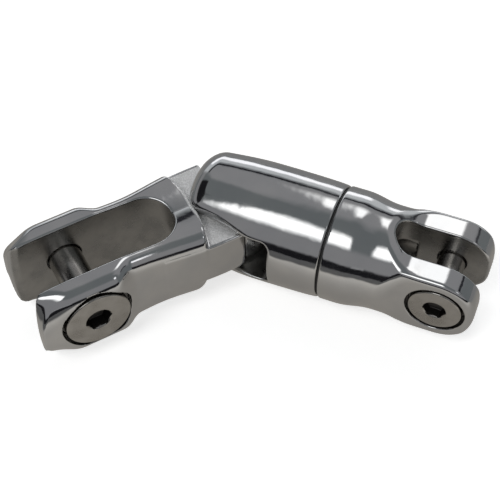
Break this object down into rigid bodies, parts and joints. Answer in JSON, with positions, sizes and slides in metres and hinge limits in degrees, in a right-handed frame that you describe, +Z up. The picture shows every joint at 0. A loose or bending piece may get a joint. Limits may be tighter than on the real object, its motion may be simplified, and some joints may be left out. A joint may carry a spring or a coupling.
{
  "type": "anchor swivel",
  "caption": "Polished stainless anchor swivel: a wide fork with a bolt for the anchor, hinged to a round knuckle on which a narrow bolted fork for the chain turns freely.",
  "frame": {"origin": "under the middle of the part's box, on the surface that it lies on", "axes": "+X along the knuckle towards the chain end, which is also the swivel's axis; +Z up, along the hinge's axis; the anchor fork is folded 50.6 degrees towards -Y"},
  "size_m": [0.1314, 0.0784, 0.0348],
  "materials": {
    "polished_casting": "mirror-polished 316 stainless steel casting",
    "bolt_steel": "turned and lightly polished stainless steel",
    "pin_steel": "ground stainless steel",
    "bearing_plastic": "dark acetal bearing ring"
  },
  "bodies": {
    "knuckle": {"knuckle": "polished_casting", "hinge_pin": "pin_steel", "swivel_bolt": "pin_steel", "swivel_lock_pin": "pin_steel", "swivel_washer": "bearing_plastic", "joint_ring": "bearing_plastic"},
    "anchor_fork": {"anchor_fork": "polished_casting"},
    "anchor_bolt": {"anchor_bolt": "bolt_steel"},
    "chain_fork": {"chain_fork": "polished_casting"},
    "chain_bolt": {"chain_bolt": "bolt_steel"}
  },
  "joints": [
    {"name": "fold_hinge", "type": "hinge", "parent": "knuckle", "child": "anchor_fork", "pos_m": [-0.01178, 0.02185, 0.0174], "axis": [0, 0, 1], "range_deg": [-138, 38]},
    {"name": "swivel", "type": "hinge", "parent": "knuckle", "child": "chain_fork", "pos_m": [0.02042, 0.02185, 0.0174], "axis": [1, 0, 0], "continuous": true},
    {"name": "anchor_bolt_draw", "type": "slide", "parent": "anchor_fork", "child": "anchor_bolt", "axis": [0.7727, -0.6347, 0], "range_m": [0, 0.038]},
    {"name": "chain_bolt_draw", "type": "slide", "parent": "chain_fork", "child": "chain_bolt", "axis": [0, -1, 0], "range_m": [0, 0.028]}
  ]
}
